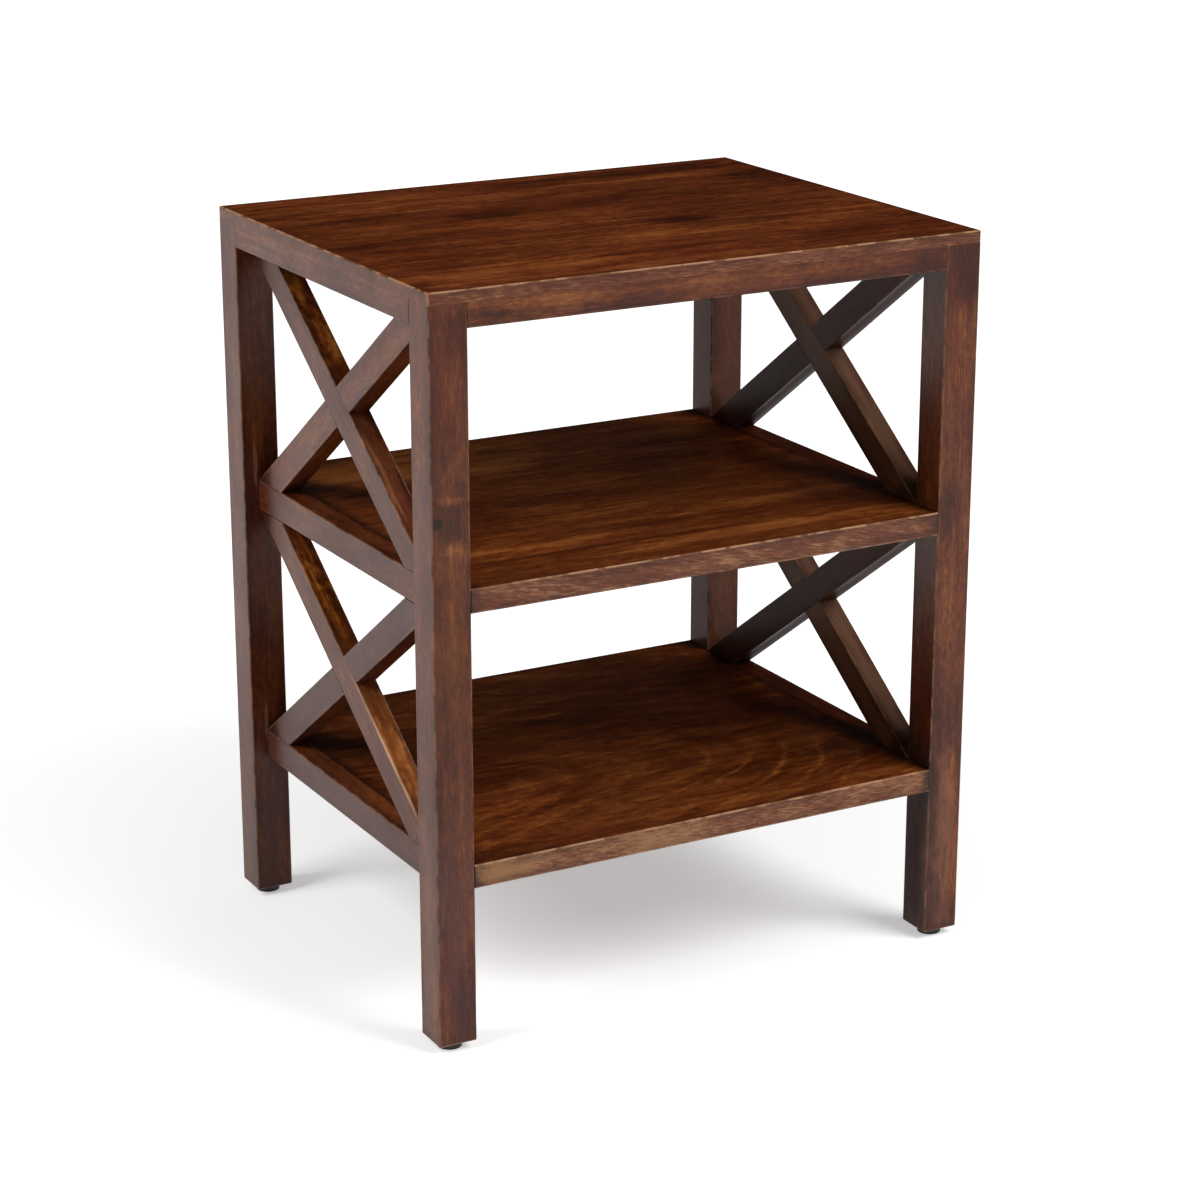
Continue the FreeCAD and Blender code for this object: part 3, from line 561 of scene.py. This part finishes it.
def dress_bars():
    """Stained wood for the legs, rails and braces, each with a grain of its own."""
    kind = {"stain": BAR_STAIN, "figure": BAR_FIGURE, "heart": (45, 35), "lean": 0.02}
    step = 5.3  # From the seed of one piece to the next.
    seed = step
    for end in ("front", "back"):
        for side in ("left", "right"):
            make_wood("%s_%s_leg" % (end, side), ALONG_Z, ALONG_X, seed, dict(kind, hidden=("+X",)))
            seed += step
    for end in ("front", "back"):
        make_wood(end + "_top_rail", ALONG_X, ALONG_Y, seed, dict(kind, hidden=("-X", "+X", "+Z")))
        seed += step
    for side, inner in (("left", "+Z"), ("right", "-Z")):
        make_wood(side + "_top_rail", ALONG_Y, ALONG_Z, seed, dict(kind, hidden=("-X", "+X", "+Y")))
        seed += step
        for level in ("middle", "bottom"):
            rail = dict(kind, hidden=("-X", "+X", inner), dirt_and_shade=0.5)
            make_wood("%s_%s_side_rail" % (side, level), ALONG_Y, ALONG_Z, seed, rail)
            seed += step
        for bay in ("upper", "lower"):
            for end, lean in (("front", -1), ("back", 1)):
                node = "%s_%s_brace_rising_%s" % (side, bay, end)
                size = box_of(node)[1]
                along = brace_direction(size, lean)
                half = (size.z / along.z, BRACE_WIDTH / 2, size.x)
                brace = dict(kind, hidden=("-X", "+X"), dirt_and_shade=0.7)
                make_wood(node, along, along.cross(ALONG_X), seed, brace, half)
                seed += step


def dress_panels():
    """Stained wood for the top board and the shelves."""
    # The boards have a strong pale line on their edges, partly a painted highlight.
    kind = {"stain": SHELF_STAIN, "figure": PANEL_FIGURE, "hidden": ("-X", "+X"), "gold": 0.10, "wear_and_highlight": 0.8,
            # Their ends are darkened, partly dirt and partly painted shade.
            "dirt_and_shade": 0.8, "seam": 0.85}
    for node, seed in (("top_board", 3.7), ("middle_shelf", 11.9), ("bottom_shelf", 23.1)):
        make_wood(node, ALONG_X, ALONG_Y, seed, kind)


def make_glides():
    """Black moulded plastic: an even, slightly grained satin that hides the mould's fine texture."""
    material = new_material("moulded_black_nylon")
    tree = material.node_tree
    coordinate = add(tree, "TexCoord").outputs["Object"]
    grain = add(tree, "TexNoise", coordinate, 1 / (0.8 * MM), 3.0, 0.6)
    scuff = add(tree, "TexNoise", coordinate, 1 / (5 * MM), 2.0, 0.5)
    colour = add(tree, "ValToRGB", scuff, stops=ramp_stops((0.35, 0.65), ("#1b1716", "#2b2523")))
    rough = add(tree, "MapRange", scuff, 0.3, 0.7, 0.42, 0.60)
    bump = add(tree, "Bump", 0.3, 0.1 * MM, sockets=[("Height", grain)])
    shader = add(tree, "BsdfPrincipled", sockets=[
        ("Base Color", colour), ("Roughness", rough), ("Normal", bump)])
    add(tree, "OutputMaterial", shader)
    for end in ("front", "back"):
        for side in ("left", "right"):
            dress("%s_%s_glide" % (end, side), material)


def make_screws():
    """Zinc-plated steel: a cool grey shine that is faintly clouded."""
    material = new_material("zinc_plated_steel")
    tree = material.node_tree
    coordinate = add(tree, "TexCoord").outputs["Object"]
    clouds = add(tree, "TexNoise", coordinate, 1 / (1.5 * MM), 3.0, 0.6)
    colour = add(tree, "ValToRGB", clouds, stops=ramp_stops((0.35, 0.65), ("#9c9a94", "#bdb9ae")))
    rough = add(tree, "MapRange", clouds, 0.3, 0.7, 0.25, 0.45)
    shader = add(tree, "BsdfPrincipled", sockets=[
        ("Base Color", colour), ("Roughness", rough), ("Metallic", 1.0)])
    add(tree, "OutputMaterial", shader)
    for node in ("top_board_screws", "glide_screws"):
        dress(node, material)


def make_tenons():
    """Bare planed beech of the loose tenons, which the joints hide: pale and matt, with fine flecks."""
    material = new_material("bare_beech")
    tree = material.node_tree
    coordinate = add(tree, "TexCoord").outputs["Object"]
    flecks = add(tree, "TexNoise", coordinate, 1 / (1.2 * MM), 3.0, 0.6)
    colour = add(tree, "ValToRGB", flecks, stops=ramp_stops((0.35, 0.65), ("#b98f63", "#d3ae80")))
    rough = add(tree, "MapRange", flecks, 0.3, 0.7, 0.55, 0.70)
    shader = add(tree, "BsdfPrincipled", sockets=[("Base Color", colour), ("Roughness", rough)])
    add(tree, "OutputMaterial", shader)
    for node in ("shelf_loose_tenons", "brace_loose_tenons"):
        dress(node, material)


def make_floor():
    """A wide white floor. Where it is seen directly or in a gloss it is lifted to white, less so round
    the table, where it keeps the table's shadow."""
    mesh = bpy.data.meshes.new("studio_floor")
    corners = [(x * FLOOR_REACH, y * FLOOR_REACH, 0) for x, y in ((-1, -1), (1, -1), (1, 1), (-1, 1))]
    mesh.from_pydata(corners, [], [(0, 1, 2, 3)])
    floor = bpy.data.objects.new("studio_floor", mesh)
    bpy.context.scene.collection.objects.link(floor)
    material = new_material("white_studio_floor")
    tree = material.node_tree
    path = add(tree, "LightPath")
    seen = add(tree, "Math", path.outputs["Is Camera Ray"], path.outputs["Is Glossy Ray"],
               operation="MAXIMUM")
    seen = add(tree, "Math", seen, path.outputs["Is Transmission Ray"], operation="MAXIMUM")
    coordinate = add(tree, "TexCoord").outputs["Object"]
    away = add(tree, "VectorMath", coordinate, operation="LENGTH").outputs["Value"]
    near, far = [add(tree, "MapRange", away, *values) for values in FLOOR_LIFTS]
    fill = add(tree, "Math", near, far, operation="ADD")
    lift = add(tree, "Math", seen, fill, operation="MULTIPLY")
    paint = add(tree, "BsdfDiffuse", linear("#e6e6e6"))
    glow = add(tree, "Emission", grey(1.0), lift)
    add(tree, "OutputMaterial", add(tree, "AddShader", paint, glow))
    mesh.materials.append(material)


def make_world():
    """Soft surroundings: white where the camera sees them, and a low even light on the object. A gloss
    sees them white at the horizon and dim above it, with a soft glow where each soft box stands."""
    world = bpy.data.worlds.new("studio")
    bpy.context.scene.world = world
    world.use_nodes = True
    tree = world.node_tree
    tree.nodes.clear()
    path = add(tree, "LightPath")
    direction = add(tree, "TexCoord").outputs["Generated"]
    height = add(tree, "SeparateXYZ", direction).outputs["Z"]
    gloss = add(tree, "MapRange", height, -0.10, 0.0, 1.0, GLOSS_SKY)
    for place, *_ in SOFT_BOXES.values():
        toward = Vector(place).normalized()
        near = add(tree, "VectorMath", direction, toward, operation="DOT_PRODUCT").outputs["Value"]
        glow = add(tree, "MapRange", near, 0.90, 0.99, 0.0, GLOSS_LAMP)
        gloss = add(tree, "Math", gloss, glow, operation="ADD")
    unseen = add(tree, "Mix", path.outputs["Is Glossy Ray"], AMBIENT, gloss)
    level = add(tree, "Mix", path.outputs["Is Camera Ray"], unseen, 1.0)
    add(tree, "OutputWorld", add(tree, "Background", grey(1.0), level))


def make_lamps():
    """Square soft boxes. A gloss doesn't see them, only the softer glow that the surroundings have there."""
    for name, (place, size, watts) in SOFT_BOXES.items():
        light = bpy.data.lights.new(name, "AREA")
        light.size = size
        light.energy = watts
        lamp = bpy.data.objects.new(name, light)
        lamp.location = place
        lamp.rotation_euler = (LAMP_AIM - Vector(place)).to_track_quat("-Z", "Y").to_euler()
        lamp.visible_glossy = False
        bpy.context.scene.collection.objects.link(lamp)


def make_camera():
    """Camera at the photograph's angle. Azimuth turns it to the left of the front."""
    azimuth = math.radians(CAMERA_AZIMUTH)
    elevation = math.radians(CAMERA_ELEVATION)
    back = Vector((-math.sin(azimuth) * math.cos(elevation), -math.cos(azimuth) * math.cos(elevation),
                   math.sin(elevation)))
    data = bpy.data.cameras.new("photo_camera")
    data.lens = CAMERA_LENS
    camera = bpy.data.objects.new("photo_camera", data)
    camera.location = CAMERA_AIM + CAMERA_DISTANCE * back
    camera.rotation_euler = back.to_track_quat("Z", "Y").to_euler()
    bpy.context.scene.collection.objects.link(camera)
    bpy.context.scene.camera = camera


dress_bars()
dress_panels()
make_glides()
make_screws()
make_tenons()
make_floor()
make_world()
make_lamps()
make_camera()
bpy.context.scene.view_settings.view_transform = "Standard"
